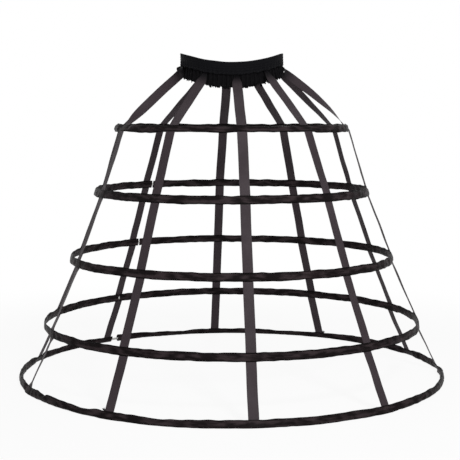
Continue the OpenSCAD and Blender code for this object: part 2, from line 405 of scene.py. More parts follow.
@dataclass
class ClothGrid:
    """Rows and columns of points over a cloth, with each one's place across and along the flat cut."""

    points: np.ndarray
    flat: np.ndarray
    rows_meet: bool = False
    columns_meet: bool = False

    def spread(self, axis: int, meets: bool) -> np.ndarray:
        """Gives the direction between each point's two neighbours.

        Args:
            axis: 0 along the rows' order, 1 along the columns'.
            meets: whether the last point is beside the first.

        Returns:
            One vector for each point.
        """
        if meets:
            return np.roll(self.points, -1, axis) - np.roll(self.points, 1, axis)
        return np.gradient(self.points, axis=axis)

    @cached_property
    def normals(self) -> np.ndarray:
        """Unit normal at each point."""
        return unit(np.cross(self.spread(0, self.rows_meet), self.spread(1, self.columns_meet)))

    def sample(self, rows: np.ndarray, columns: np.ndarray) -> tuple[np.ndarray, np.ndarray]:
        """Finds points between those of the grid.

        Args:
            rows: row numbers, with fractions.
            columns: column numbers, with fractions.

        Returns:
            The points and their normals.
        """
        count = self.points.shape
        row, column = np.floor(rows).astype(int), np.floor(columns).astype(int)
        found = []
        for values in (self.points, self.normals):
            total = 0.0
            for r, c in ((0, 0), (0, 1), (1, 0), (1, 1)):
                share = np.abs(1 - r - (rows - row)) * np.abs(1 - c - (columns - column))
                total = total + share[:, None] * values[(row + r) % count[0], (column + c) % count[1]]
            found.append(total)
        return found[0], unit(found[1])

    def quads(self) -> tuple[np.ndarray, np.ndarray]:
        """Lists the grid's faces.

        Returns:
            The faces' corners as point numbers, and as numbers of flat places.
        """
        rows, columns = self.points.shape[:2]
        wide = self.flat.shape[1]
        row, column = np.meshgrid(
            np.arange(rows if self.rows_meet else rows - 1),
            np.arange(columns if self.columns_meet else columns - 1),
            indexing="ij",
        )
        steps = ((0, 0), (1, 0), (1, 1), (0, 1))
        corners = [(row + r) % rows * columns + (column + c) % columns for r, c in steps]
        places = [(row + r) * wide + column + c for r, c in steps]
        return np.stack(corners, -1).reshape(-1, 4), np.stack(places, -1).reshape(-1, 4)

    def rims(self) -> tuple[np.ndarray, np.ndarray]:
        """Lists the open borders, each as two numbers of points in the order that closes a shell.

        Returns:
            The borders' edges as point numbers, and as numbers of flat places.
        """
        rows, columns = self.points.shape[:2]
        wide = self.flat.shape[1]
        edges, places = [], []
        if not self.columns_meet:
            j = np.arange(rows if self.rows_meet else rows - 1)
            n = (j + 1) % rows
            last = columns - 1
            edges += [np.stack([n * columns, j * columns], -1)]
            edges += [np.stack([j * columns + last, n * columns + last], -1)]
            places += [np.stack([(j + 1) * wide, j * wide], -1)]
            places += [np.stack([j * wide + last, (j + 1) * wide + last], -1)]
        if not self.rows_meet:
            k = np.arange(columns if self.columns_meet else columns - 1)
            m = (k + 1) % columns
            last = rows - 1
            edges += [np.stack([k, m], -1), np.stack([last * columns + m, last * columns + k], -1)]
            places += [np.stack([k, k + 1], -1), np.stack([last * wide + k + 1, last * wide + k], -1)]
        return np.concatenate(edges), np.concatenate(places)

    def solid(self, name: str, material: bpy.types.Material) -> bpy.types.Object:
        """Makes a piece of a grid that closes on itself both ways.

        Args:
            name: the piece's name.
            material: its finish.

        Returns:
            The new object.
        """
        quads, places = self.quads()
        flat = self.flat.reshape(-1, 2)[places]
        return new_piece(name, self.points.reshape(-1, 3), quads, flat, material)

    def thickened(self, thickness: float) -> tuple[np.ndarray, np.ndarray, np.ndarray]:
        """Gives the cloth a thickness, with this grid as its middle.

        Args:
            thickness: thickness of the cloth.

        Returns:
            The corners, the faces as corner numbers, and the flat places of the faces' corners.
        """
        half = self.normals * thickness / 2
        points = np.concatenate([(self.points + half).reshape(-1, 3), (self.points - half).reshape(-1, 3)])
        count = len(points) // 2
        quads, places = self.quads()
        edges, edge_places = self.rims()
        rim = np.concatenate([edges, edges[:, ::-1] + count], axis=1)
        rim_places = np.concatenate([edge_places, edge_places[:, ::-1]], axis=1)
        faces = np.concatenate([quads, quads[:, ::-1] + count, rim])
        all_places = np.concatenate([places, places[:, ::-1], rim_places])
        return points, faces, self.flat.reshape(-1, 2)[all_places]


def cloth_piece(
    name: str, layers: list[ClothGrid], material: bpy.types.Material, thickness: float
) -> bpy.types.Object:
    """Makes one piece of one or more layers of cloth.

    Args:
        name: the piece's name.
        layers: the middles of the layers.
        material: their finish.
        thickness: thickness of the cloth.

    Returns:
        The new object.
    """
    points, faces, flat = zip(*(layer.thickened(thickness) for layer in layers))
    firsts = np.cumsum([0] + [len(corners) for corners in points])
    numbered = [corners + first for corners, first in zip(faces, firsts)]
    return new_piece(name, np.concatenate(points), np.concatenate(numbered), np.concatenate(flat), material)


def new_piece(
    name: str, points: np.ndarray, faces: np.ndarray, flat: np.ndarray, material: bpy.types.Material
) -> bpy.types.Object:
    """Makes a smooth mesh object that moves with the cage.

    Args:
        name: the piece's name.
        points: its corners.
        faces: corner numbers of its four-sided faces.
        flat: flat place of each face's corners, kept as its UV map.
        material: its finish.

    Returns:
        The new object.
    """
    mesh = bpy.data.meshes.new(name)
    mesh.from_pydata(points.tolist(), [], faces.tolist())
    cut = mesh.uv_layers.new(name="cut")
    cut.uv.foreach_set("vector", flat.astype(np.float32).ravel())
    mesh.materials.append(material)
    mesh.shade_smooth()
    mesh.set_sharp_from_angle(angle=SHARP_EDGE)
    piece = bpy.data.objects.new(name, mesh)
    bpy.context.scene.collection.objects.link(piece)
    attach(piece, BODY)
    LOG.info("%s: %d faces", name, len(faces))
    return piece


class Graph:
    """Adds and links the nodes of one material or world."""

    def __init__(self, owner: bpy.types.Material | bpy.types.World) -> None:
        """Starts with an empty node tree.

        Args:
            owner: what the nodes belong to.
        """
        self.owner = owner
        owner.use_nodes = True
        self.tree = owner.node_tree
        self.tree.nodes.clear()

    def add(self, kind: str, inputs: dict, **settings: object) -> bpy.types.Node:
        """Adds a node.

        Args:
            kind: the node's type.
            inputs: values or sockets for its inputs, by name or number.
            **settings: properties of the node.

        Returns:
            The new node.
        """
        node = self.tree.nodes.new(kind)
        for key, value in settings.items():
            setattr(node, key, value)
        for key, value in inputs.items():
            self.feed(node.inputs[key], value)
        return node

    def feed(self, target: Socket, value: object) -> None:
        """Links a socket to an input, or sets the input's own value.

        Args:
            target: the input.
            value: a socket or a plain value.
        """
        if isinstance(value, Socket):
            self.tree.links.new(value, target)
        else:
            target.default_value = value

    def math(self, operation: str, *terms: Socket | float) -> Socket:
        """Adds one sum of numbers or sockets, by its name."""
        return self.add("ShaderNodeMath", dict(enumerate(terms)), operation=operation).outputs[0]

    def weigh(self, base: Socket | float, *parts: tuple[Socket, float]) -> Socket:
        """Adds up weighted parts.

        Args:
            base: what they are added to.
            *parts: sockets, each with its weight.

        Returns:
            The result's socket.
        """
        for part, weight in parts:
            base = self.math("MULTIPLY_ADD", part, weight, base)
        return base

    def step(self, value: Socket, low: float, high: float) -> Socket:
        """Adds a smooth step from 0 at the low value to 1 at the high one."""
        limits = {"Value": value, "From Min": low, "From Max": high}
        return self.add("ShaderNodeMapRange", limits, interpolation_type="SMOOTHSTEP").outputs[0]

    def mix(self, share: Socket | float, first: Socket | Colour, second: Socket | Colour) -> Socket:
        """Mixes two colours, with the second one at a share of 1."""
        inputs = {0: share, 6: first, 7: second}
        return self.add("ShaderNodeMix", inputs, data_type="RGBA").outputs[2]

    def cut_place(self) -> tuple[Socket, Socket]:
        """Reads the place on the flat cut.

        Returns:
            Sockets for the distances across and along the cut.
        """
        place = self.add("ShaderNodeUVMap", {}, uv_map="cut")
        parts = self.add("ShaderNodeSeparateXYZ", {"Vector": place.outputs[0]})
        return parts.outputs[0], parts.outputs[1]

    def body_place(self) -> Socket:
        """Place in the cage's own frame."""
        return self.add("ShaderNodeTexCoord", {}).outputs["Object"]

    def cords(self, place: Socket, pitch: float) -> Socket:
        """Makes even ridges of a pitch across a direction, from 0 to 1 high."""
        wave = self.math("SINE", self.math("MULTIPLY", place, FULL_TURN / pitch))
        return self.math("MULTIPLY_ADD", wave, 0.5, 0.5)

    def cloud(self, place: Socket, swing: float, detail: float = 3.0) -> Socket:
        """Makes soft patches of a size, from 0 to 1 strong, with a number of finer layers."""
        inputs = {"Vector": place, "Scale": 1.0 / swing, "Detail": detail}
        return self.add("ShaderNodeTexNoise", inputs).outputs[0]

    def bump(self, height: Socket, depth: float, strength: float, under: Socket | None = None) -> Socket:
        """Makes a relief from heights.

        Args:
            height: height from 0 to 1.
            depth: depth of the relief.
            strength: how strongly it shows.
            under: normal of a relief beneath it.

        Returns:
            The normal's socket.
        """
        inputs = {"Height": height, "Distance": depth, "Strength": strength}
        if under is not None:
            inputs["Normal"] = under
        return self.add("ShaderNodeBump", inputs).outputs[0]


@dataclass(frozen=True)
class Look:
    """What a finish shows: its colour, the texture that roughens it, its relief and one beneath that."""

    colour: Socket
    texture: Socket
    height: Socket
    under: Socket | None = None


@dataclass(frozen=True)
class Finish(ABC):
    """A finish: its name, roughness as gain and base, relief as depth and strength, and its shine."""

    name: str = "finish"
    roughness: Span = (0.0, 0.5)
    relief: Span = (0.1 * MM, 0.5)
    specular: float = 0.5
    metallic: float = 0.0

    @abstractmethod
    def draw(self, graph: Graph) -> Look:
        """Draws the finish with the nodes of its material."""

    def material(self) -> bpy.types.Material:
        """Makes the finish's material.

        Returns:
            The new material.
        """
        graph = Graph(bpy.data.materials.new(self.name))
        look = self.draw(graph)
        gain, base = self.roughness
        surface = graph.add("ShaderNodeBsdfPrincipled", {
            "Base Color": look.colour,
            "Metallic": self.metallic,
            "Roughness": graph.weigh(base, (look.texture, gain)),
            "Normal": graph.bump(look.height, *self.relief, look.under),
            "Specular IOR Level": self.specular,
        })
        graph.add("ShaderNodeOutputMaterial", {"Surface": surface.outputs[0]})
        return graph.owner


@dataclass(frozen=True)
class RibbonTwill(Finish):
    """Warm dark grey twill ribbon with slanting ribs, firm selvedges, a dull shine and painted shade at its
    top end.
    """

    name: str = "ribbon_twill"
    roughness: Span = (0.1, 0.4)
    relief: Span = (0.1 * MM, 0.35)
    specular: float = 0.06
    colour: Colour = linear(65, 57, 61)
    shade: Colour = linear(48, 42, 45)
    # Painted shade of the waistband and frill: the ribbon's top end takes this near-black colour, which
    # fades out between these distances along it
    painted_root_shade: Colour = linear(14, 13, 15)
    root: Span = (20.0 * MM, 66.0 * MM)
    width: float = CageForm.strap_w
    selvedge: Span = (1.725 * MM, 1.05 * MM)
    selvedge_sink: float = -0.5
    rib_pitch: float = 1.1 * MM
    rib_slant: float = 1.5
    rib_weight: float = 0.7
    yarn_pitch: float = 0.42 * MM
    yarn_weight: float = 0.3
    patch: float = 60.0 * MM
    patch_edge: Span = (0.3, 0.7)
    # Shares of the darker colour: everywhere, on the weave's ridges, in patches and on the selvedges
    plain_shade: float = 0.25
    weave_shade: float = -0.3
    patch_shade: float = 0.35
    selvedge_shade: float = 0.4

    def draw(self, graph: Graph) -> Look:
        """Draws the ribbon.

        Args:
            graph: the nodes of its material.

        Returns:
            What the finish shows.
        """
        across, along = graph.cut_place()
        ribs = graph.cords(graph.weigh(along, (across, self.rib_slant)), self.rib_pitch)
        yarns = graph.cords(across, self.yarn_pitch)
        edge = graph.math("SUBTRACT", self.width / 2, graph.math("ABSOLUTE", across))
        bound = graph.step(edge, *self.selvedge)
        patches = graph.step(graph.cloud(graph.body_place(), self.patch), *self.patch_edge)
        woven = graph.weigh(0.0, (ribs, self.rib_weight), (yarns, self.yarn_weight))
        weights = (woven, self.weave_shade), (patches, self.patch_shade), (bound, self.selvedge_shade)
        colour = graph.mix(graph.weigh(self.plain_shade, *weights), self.colour, self.shade)
        # Painted shade: darkens the ribbon's top end, below the waistband and frill
        colour = graph.mix(graph.step(along, *self.root), self.painted_root_shade, colour)
        return Look(colour, patches, graph.weigh(woven, (bound, self.selvedge_sink)))


@dataclass(frozen=True)
class CasingSatin(Finish):
    """Black satin with fine threads round the tube, long patches of painted sheen, drag marks and painted
    shade at its rolled edges.
    """

    name: str = "casing_satin"
    roughness: Span = (0.16, 0.26)
    relief: Span = (0.05 * MM, 0.3)
    specular: float = 0.012
    # Painted sheen: colour of the long light patches, over shade, which is the satin's own darker colour
    colour: Colour = linear(56, 48, 50)
    shade: Colour = linear(26, 22, 23)
    # Painted shade where the tube rolls away at its top and bottom edges, darkening between these distances
    # from its middle
    painted_edge_shade: Colour = linear(10, 8, 8)
    edge: Span = (5.6 * MM, 8.2 * MM)
    thread_pitch: float = 0.35 * MM
    slant: float = 0.8
    drag: float = 9.0 * MM
    drag_squeeze: float = 0.3
    crease: Span = (0.6 * MM, 0.5)
    # Painted sheen patches: their size, their squeeze across the tube and the edges of their step
    patch: float = 34.0 * MM
    patch_squeeze: float = 3.5
    patch_edge: Span = (0.4, 0.66)

    def draw(self, graph: Graph) -> Look:
        """Draws the satin.

        Args:
            graph: the nodes of its material.

        Returns:
            What the finish shows.
        """
        across, along = graph.cut_place()
        slanted = graph.weigh(along, (across, self.slant))
        clouds = []
        for squeeze, size in ((self.drag_squeeze, self.drag), (self.patch_squeeze, self.patch)):
            place = {0: slanted, 1: graph.math("MULTIPLY", across, squeeze)}
            clouds.append(graph.cloud(graph.add("ShaderNodeCombineXYZ", place).outputs[0], size))
        drags, sheen_patches = clouds
        # Painted shade at the rolled edges
        rolled = graph.step(graph.math("ABSOLUTE", across), *self.edge)
        # Painted sheen: long lighter patches over the satin's own darker colour
        worn_and_sheen = graph.mix(graph.step(sheen_patches, *self.patch_edge), self.shade, self.colour)
        colour = graph.mix(rolled, worn_and_sheen, self.painted_edge_shade)
        threads = graph.cords(along, self.thread_pitch)
        return Look(colour, drags, threads, graph.bump(drags, *self.crease))


@dataclass(frozen=True)
class RibbedElastic(Finish):
    """Black knitted elastic with loops in upright columns."""

    name: str = "ribbed_elastic"
    roughness: Span = (-0.15, 0.82)
    relief: Span = (0.2 * MM, 0.6)
    specular: float = 0.06
    colour: Colour = linear(17, 17, 20)
    shade: Colour = linear(8, 8, 10)
    loop_w: float = 0.9 * MM
    loop_h: float = 0.6 * MM
    loop_round: float = 0.5
    loop_floor: float = 0.4
    patch: float = 20.0 * MM
    # Shares of the darker colour: everywhere, on the loops and in patches
    plain_shade: float = 0.4
    knit_shade: float = -0.5
    patch_shade: float = 0.6

    def draw(self, graph: Graph) -> Look:
        """Draws the elastic.

        Args:
            graph: the nodes of its material.

        Returns:
            What the finish shows.
        """
        across, along = graph.cut_place()
        columns = graph.cords(along, self.loop_w)
        rows = graph.cords(graph.weigh(across, (columns, self.loop_h / 2)), self.loop_h)
        loops = graph.weigh(self.loop_floor, (rows, 1.0 - self.loop_floor))
        knit = graph.math("MULTIPLY", graph.math("POWER", columns, self.loop_round), loops)
        patches = graph.cloud(graph.body_place(), self.patch)
        share = graph.weigh(self.plain_shade, (patches, self.patch_shade), (knit, self.knit_shade))
        return Look(graph.mix(share, self.colour, self.shade), knit, knit)


@dataclass(frozen=True)
class FrillCotton(Finish):
    """Matt black cotton in plain weave."""

    name: str = "frill_cotton"
    roughness: Span = (-0.1, 0.9)
    relief: Span = (0.12 * MM, 0.5)
    specular: float = 0.05
    colour: Colour = linear(22, 21, 23)
    shade: Colour = linear(5, 5, 6)
    yarn_pitch: float = 0.4 * MM
    patch: float = 7.0 * MM

    def draw(self, graph: Graph) -> Look:
        """Draws the cotton.

        Args:
            graph: the nodes of its material.

        Returns:
            What the finish shows.
        """
        yarns = [graph.cords(place, self.yarn_pitch) for place in graph.cut_place()]
        weave = graph.math("MULTIPLY", *yarns)
        patches = graph.cloud(graph.body_place(), self.patch)
        return Look(graph.mix(patches, self.colour, self.shade), weave, weave)


@dataclass(frozen=True)
class SewingThread(Finish):
    """Black twisted sewing thread."""

    name: str = "sewing_thread"
    roughness: Span = (-0.1, 0.6)
    relief: Span = (0.05 * MM, 0.5)
    specular: float = 0.25
    colour: Colour = linear(24, 22, 24)
    shade: Colour = linear(12, 11, 12)
    twist_pitch: float = 0.3 * MM

    def draw(self, graph: Graph) -> Look:
        """Draws the thread's twist."""
        twist = graph.cords(graph.math("ADD", *graph.cut_place()), self.twist_pitch)
        return Look(graph.mix(twist, self.shade, self.colour), twist, twist)


@dataclass(frozen=True)
class CoatedSteel(Finish):
    """Spring steel strip under a pale grey coat with fine scuffs."""

    name: str = "coated_steel"
    roughness: Span = (0.2, 0.3)
    relief: Span = (0.1 * MM, 0.2)
    colour: Colour = linear(214, 213, 210)
    worn_and_sheen: Colour = linear(150, 149, 147)
    scuff: float = 4.0 * MM
    scuff_detail: float = 6.0
    scuff_edge: Span = (0.55, 0.75)

    def draw(self, graph: Graph) -> Look:
        """Draws the coat and its scuffs."""
        scuffs = graph.cloud(graph.body_place(), self.scuff, self.scuff_detail)
        return Look(graph.mix(graph.step(scuffs, *self.scuff_edge), self.colour, self.worn_and_sheen), scuffs, scuffs)


@dataclass(frozen=True)
class SleeveBrass(Finish):
    """Crimped brass sleeve, dulled by handling."""

    name: str = "sleeve_brass"
    roughness: Span = (0.3, 0.25)
    relief: Span = (0.08 * MM, 0.2)
    metallic: float = 1.0
    colour: Colour = linear(176, 160, 118)
    dull: Colour = linear(120, 108, 84)
    stain: float = 3.0 * MM
    stain_detail: float = 5.0

    def draw(self, graph: Graph) -> Look:
        """Draws the dulled brass."""
        stains = graph.cloud(graph.body_place(), self.stain, self.stain_detail)
        return Look(graph.mix(stains, self.colour, self.dull), stains, stains)


def declare_cloth(
    piece: bpy.types.Object, node: str, flat: Span,
) -> None:
    """Hides the CAD solid that a piece of cloth replaces, and logs the size of its flat cut.

    Args:
        piece: the cloth.
        node: the CAD node that it replaces.
        flat: width and length of the flat cut.
    """
    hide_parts(node)
    LOG.info("%s is cut %.0f x %.0f mm", piece.name, flat[0] / MM, flat[1] / MM)


@dataclass
class Needlework:
    """Stitches of one thread, gathered until they become a piece."""

    thread: bpy.types.Material
    radius: float = 0.17 * MM
    sides: int = 4
    # Rings of a stitch: share of its length, then rise and girth in radii of the thread
    rings: tuple[tuple[float, float, float], ...] = (
        (0.0, -0.7, 0.7), (0.2, 0.6, 1.0), (0.8, 0.6, 1.0), (1.0, -0.7, 0.7),
    )
    stitches: list[np.ndarray] = field(default_factory=list)

    def sew(self, heads: np.ndarray, tails: np.ndarray, normals: np.ndarray, lift: float) -> None:
        """Adds stitches that dip into the cloth at both ends.

        Args:
            heads: where the stitches begin, in the middle of the cloth.
            tails: where they end.
            normals: the cloth's normals there.
            lift: distance from the middle of the cloth to its face.
        """
        side = np.cross(unit(tails - heads), normals)
        turns = np.arange(self.sides) * FULL_TURN / self.sides
        spokes = np.cos(turns)[:, None, None] * normals + np.sin(turns)[:, None, None] * side
        rings = []
        for share, rise, girth in self.rings:
            middle = heads + share * (tails - heads) + normals * (lift + rise * self.radius)
            rings.append((middle + girth * self.radius * spokes).transpose(1, 0, 2))
        self.stitches.append(np.stack(rings, 1))

    def follow(
        self, grid: ClothGrid, starts: np.ndarray, column: float, stride: float, lift: float
    ) -> None:
        """Sews along one column of a cloth's grid.

        Args:
            grid: the cloth.
            starts: row numbers at which the stitches begin, with fractions.
            column: the column's number, with a fraction.
            stride: length of a stitch in rows.
            lift: distance from the grid to the cloth's face.
        """
        columns = np.full(len(starts), column)
        heads, normals = grid.sample(starts, columns)
        tails, _ = grid.sample(starts + stride, columns)
        self.sew(heads, tails, normals, lift)

    def build(self, name: str, slot: Slot) -> bpy.types.Object:
        """Turns the stitches into one piece.

        Args:
            name: the piece's name.
            slot: a material slot; not used.

        Returns:
            The new object.
        """
        points = np.concatenate(self.stitches)
        size = len(self.rings) * self.sides
        ring, side = np.meshgrid(np.arange(len(self.rings) - 1), np.arange(self.sides), indexing="ij")
        after = (side + 1) % self.sides
        steps = ((0, side), (0, after), (1, after), (1, side))
        walls = np.stack([(ring + up) * self.sides + place for up, place in steps], -1).reshape(-1, 4)
        ends = np.array([np.arange(self.sides)[::-1], size - self.sides + np.arange(self.sides)])
        faces = np.concatenate([walls, ends])
        all_faces = (np.arange(len(points))[:, None, None] * size + faces).reshape(-1, 4)
        flat = np.stack([faces % self.sides, faces // self.sides], -1) * self.radius * 2
        all_flat = np.tile(flat, (len(points), 1, 1))
        piece = new_piece(name, points.reshape(-1, 3), all_faces, all_flat, self.thread)
        return piece


@dataclass
class HoopCasing:
    """One hoop's casing: two layers of satin sewn together at both edges, round the bone and the straps."""

    form: CageForm
    hoop: int
    satin: bpy.types.Material
    thread: bpy.types.Material
    # Leans at the cage's sides and reach of the rolling between straps, in degrees from the top hoop down
    side_degrees: tuple[float, ...] = (16.0, 15.0, 9.0, 4.0, 2.0)
    roll_degrees: tuple[float, ...] = (8.0, 8.0, 8.0, 8.0, 26.0)
    roll: Drift = Drift(1.0, 0.130, 27.4)
    side: Span = (0.35, 0.8)
    # Distances from a strap's edge over which the casing rolls, is laid over the strap and puckers
    beside: Span = (3.0 * MM, 30.0 * MM)
    held: Span = (0.5 * MM, 9.0 * MM)
    loose: Span = (1.0 * MM, 20.0 * MM)
    station: float = 4.0 * MM
    cloth: float = 0.35 * MM
    rows: int = 13
    pressed: float = 0.24 * MM
    slack: float = 0.3 * MM
    seam_set: float = 1.7 * MM
    stitch: float = 3.4 * MM
    stitch_pitch: float = 5.0 * MM
    floor_gap: float = 0.25 * MM
    pucker_size: float = 2.2 * MM
    pucker_run: float = 17.0 * MM
    pucker_base: float = 0.3
    pucker_seeds: tuple[float, float, float] = (11.0, 4.0, 2.0)
    edge_calm: float = 0.6
    crease_size: float = 0.7 * MM
    crease_run: float = 6.0 * MM
    sway: Drift = Drift(1.2 * MM, 0.070, 1.3)
    top_bend: Drift = Drift(0.5, 0.045, 5.2)
    foot_bend: Drift = Drift(0.5, 0.052, 9.4)
    top_wave: Drift = Drift(1.5 * MM, 0.022, 14.7)
    foot_wave: Drift = Drift(1.3 * MM, 0.019, 21.1)
    slant: Drift = Drift(1.8, 0.130, 33.6)
    # Dips and swellings of the bottom casing's upper edge: degrees round the hoop, depth and spread
    dips: tuple[tuple[float, float, float], ...] = (
        (301.5, -1.8 * MM, 18.0 * MM),
        (305.6, 4.4 * MM, 8.0 * MM),
        (310.0, -3.4 * MM, 22.0 * MM),
        (321.5, 3.9 * MM, 30.0 * MM),
    )
    tuft_places: tuple[Place, ...] = (Place.FRONT_LEFT, Place.BACK_RIGHT)
    tuft_span: Span = (-2.0 * MM, 3.0 * MM)
    tuft_degrees: Span = (20.0, 55.0)
    tuft_reach: float = 7.5 * MM
    tuft_uneven: float = 0.4
    tuft_beat: float = 2.4
    tuft_ends: int = 26

    @property
    def node(self) -> str:
        """Name of the casing's CAD node."""
        return f"casing_{self.hoop + 1}"

    @property
    def radius(self) -> float:
        """Radius of the casing's bone."""
        return self.form.hoop_r[self.hoop]

    @cached_property
    def heights(self) -> np.ndarray:
        """Places of the rows up a layer, closer together towards its edges."""
        return self.form.half_w(self.hoop) * np.sin(np.linspace(-math.pi / 2, math.pi / 2, self.rows))

    @cached_property
    def shares(self) -> np.ndarray:
        """Places of the rows as shares of half the casing's height."""
        return self.heights / self.form.half_w(self.hoop)

    @cached_property
    def angles(self) -> np.ndarray:
        """Finds the places of the stations round the hoop.

        Returns:
            Angles from one end of the slit to the other.
        """
        middle, half_open = self.form.slit(self.hoop)
        length = (FULL_TURN - 2 * half_open) * self.radius
        count = math.ceil(length / self.station) + 1
        return middle + np.linspace(half_open, FULL_TURN - half_open, count)

    @cached_property
    def arc(self) -> np.ndarray:
        """Distances of the stations along the casing."""
        return (self.angles - self.angles[0]) * self.radius

    @cached_property
    def apart(self) -> np.ndarray:
        """Distances of the stations from the nearest strap's edge."""
        straps = [self.form.strap_angle(place, self.hoop) for place in Place]
        return self.form.strap_distance(self.angles, straps, self.radius) - self.form.strap_w / 2

    @cached_property
    def free(self) -> np.ndarray:
        """How freely the satin moves at each station, from 0 to 1."""
        return smooth(self.apart, *self.loose)[:, None]

    @cached_property
    def lean(self) -> np.ndarray:
        """Finds the casing's lean, more upright at the cage's sides and rolling between straps.

        Returns:
            The lean at each station.
        """
        steady = self.form.leans[self.hoop]
        loosened = smooth(self.apart, *self.beside)
        upright = smooth(np.abs(np.sin(self.angles)), *self.side) * loosened
        roll = math.radians(self.roll_degrees[self.hoop]) * self.roll.along(self.arc, self.hoop) * loosened
        return (steady + (math.radians(self.side_degrees[self.hoop]) - steady) * upright + roll)[:, None]

    @cached_property
    def lift(self) -> np.ndarray:
        """Finds how far the casing is raised, where the bottom one stands on the floor as it rolls.

        Returns:
            The distance at each station.
        """
        if self.hoop != self.form.hem:
            return np.zeros_like(self.lean)
        return self.form.half_w(self.hoop) * (np.cos(self.lean) - math.cos(self.form.leans[self.hoop]))

    def wander(self, drift: Drift) -> np.ndarray:
        """A drift along the casing, stilled beside the straps."""
        return drift.along(self.arc, self.hoop)[:, None] * self.free

    def puckers(self, layer: float) -> np.ndarray:
        """Gives the slanting puckers of loose satin.

        Args:
            layer: a number that tells one layer from the other.

        Returns:
            Heights of the puckers, one for each station and row.
        """
        slant = self.slant.along(self.arc, self.hoop)
        shifts = np.zeros((len(self.arc), self.rows))
        hoop_seed, layer_seed, fine_seed = self.pucker_seeds
        seed = self.hoop * hoop_seed + layer * layer_seed
        for j, place in enumerate(self.arc):
            for k, height in enumerate(self.heights):
                run = place + slant[j] * height
                broad = noise.noise(Vector((run / self.pucker_run, height / (2 * self.pucker_run), seed)))
                crease = Vector((run / self.crease_run, height / self.pucker_run, seed + fine_seed))
                shifts[j, k] = self.pucker_size * broad + self.crease_size * noise.noise(crease)
        return shifts

    def depths(self, side: float) -> np.ndarray:
        """Gives a layer's distance from the casing's centre line, clear of bone, sleeve and straps.

        Args:
            side: 1 for the outer layer and -1 for the inner one.

        Returns:
            Distances outwards, one for each station and row.
        """
        form = self.form
        half_w = form.half_w(self.hoop)
        sleeve = np.abs(wrapped(self.angles - form.joiner_angle)) * self.radius
        snug = 1.0 - smooth(sleeve, form.joiner_len / 2, form.joiner_len)[:, None]
        over_bone = smooth(half_w - np.abs(self.heights), 0.0, half_w - form.half_flat)
        tilt = form.bone_w / 2 * np.sin(np.abs(form.leans[self.hoop] - self.lean)) + np.abs(self.lift)
        cover = form.bone_face + self.slack + self.cloth / 2
        cover = cover + (form.joiner_wall + form.bone_gap) * snug + tilt
        room = self.pressed + (cover - self.pressed) * over_bone
        loose = self.puckers(side) * (1.0 - self.edge_calm * self.shares ** 2) * self.free
        depth = np.maximum(room + self.pucker_base * self.pucker_size * self.free * over_bone + loose, room)
        if side > 0:
            held = 1.0 - smooth(self.apart, *self.held)[:, None]
            over_strap = form.bone_face + form.strap_out + self.slack + self.cloth / 2
            depth = np.maximum(depth, over_strap * held)
        out = side * depth
        for bend, end in ((self.top_bend, 1.0), (self.foot_bend, -1.0)):
            out = out + self.wander(bend) * np.maximum(end * self.heights - form.bone_w / 2, 0.0)
        return out

    def rises(self) -> np.ndarray:
        """Gives the rows' distances up the casing, with waves at its edges and the bottom one's dips.

        Returns:
            Distances, one for each station and row.
        """
        up = self.heights + self.wander(self.sway)
        for wave, end in ((self.top_wave, 1.0), (self.foot_wave, -1.0)):
            up = up + self.wander(wave) * np.maximum(end * self.shares, 0.0) ** 2
        dips = self.dips if self.hoop == self.form.hem else ()
        for degrees, depth, spread in dips:
            away = wrapped(self.angles - math.radians(degrees)) * self.radius
            up = up - depth * np.exp(-(away / spread) ** 2)[:, None] * np.maximum(self.shares, 0.0) ** 2
        return up

    def make_layer(self, side: float) -> ClothGrid:
        """Lays one layer of satin round the hoop, smooth over the straps and puckered between them.

        Args:
            side: 1 for the outer layer and -1 for the inner one.

        Returns:
            The middle of the cloth.
        """
        out, up, lean = self.depths(side), self.rises(), self.lean
        reach = self.radius + out * np.cos(lean) - up * np.sin(lean)
        rise = self.form.hoop_z[self.hoop] + self.lift + out * np.sin(lean) + up * np.cos(lean)
        points = self.form.outward(self.angles)[:, None, :] * reach[..., None]
        points[..., 2] = np.maximum(rise, self.floor_gap)
        flat = cut_places(self.heights, self.arc)
        if side < 0:
            return ClothGrid(points[:, ::-1], flat[:, ::-1])
        return ClothGrid(points, flat)

    def seam(self, layers: list[ClothGrid]) -> bpy.types.Object:
        """Sews both edges, with stitches on both layers.

        Args:
            layers: the outer and the inner layer.

        Returns:
            The piece of thread.
        """
        length = (len(self.angles) - 1) * self.station
        pitch = self.stitch_pitch
        starts = np.arange(pitch / 2, length - pitch, pitch) / self.station
        work = Needlework(self.thread)
        edge = self.form.half_w(self.hoop) - self.seam_set
        for layer in layers:
            for height in (edge, -edge):
                column = np.interp(height, self.heights, np.arange(self.rows))
                work.follow(layer, starts, column, self.stitch / self.station, self.cloth / 2)
        if self.hoop == self.form.hem:
            self.leave_ends(layers[0], work)
        return work.build(f"hoop_seam_{self.hoop + 1}", Slot.CASING)

    def leave_ends(self, layer: ClothGrid, work: Needlework) -> None:
        """Leaves tufts of loose thread ends at the upper edge, beside some straps.

        Args:
            layer: the outer layer.
            work: the casing's stitches.
        """
        step = self.angles[1] - self.angles[0]
        apart = self.form.strap_w / 2 + np.linspace(*self.tuft_span, self.tuft_ends)
        fan = np.radians(np.linspace(*self.tuft_degrees, self.tuft_ends))[:, None]
        beat = np.cos(np.arange(self.tuft_ends) * self.tuft_beat)[:, None] ** 2
        reach = self.tuft_reach * (1.0 - self.tuft_uneven + self.tuft_uneven * beat)
        upward = np.array([0.0, 0.0, 1.0])
        for place in self.tuft_places:
            angle = self.form.strap_angle(place, self.hoop) - apart / self.radius
            starts = ((angle - self.angles[0]) % FULL_TURN) / step
            edge = np.full_like(starts, self.rows - 1.0)
            heads, normals = layer.sample(starts, edge)
            beside, _ = layer.sample(starts - 1.0, edge)
            course = np.cos(fan) * upward + np.sin(fan) * unit(beside - heads)
            work.sew(heads, heads + reach * course, normals, 0.0)

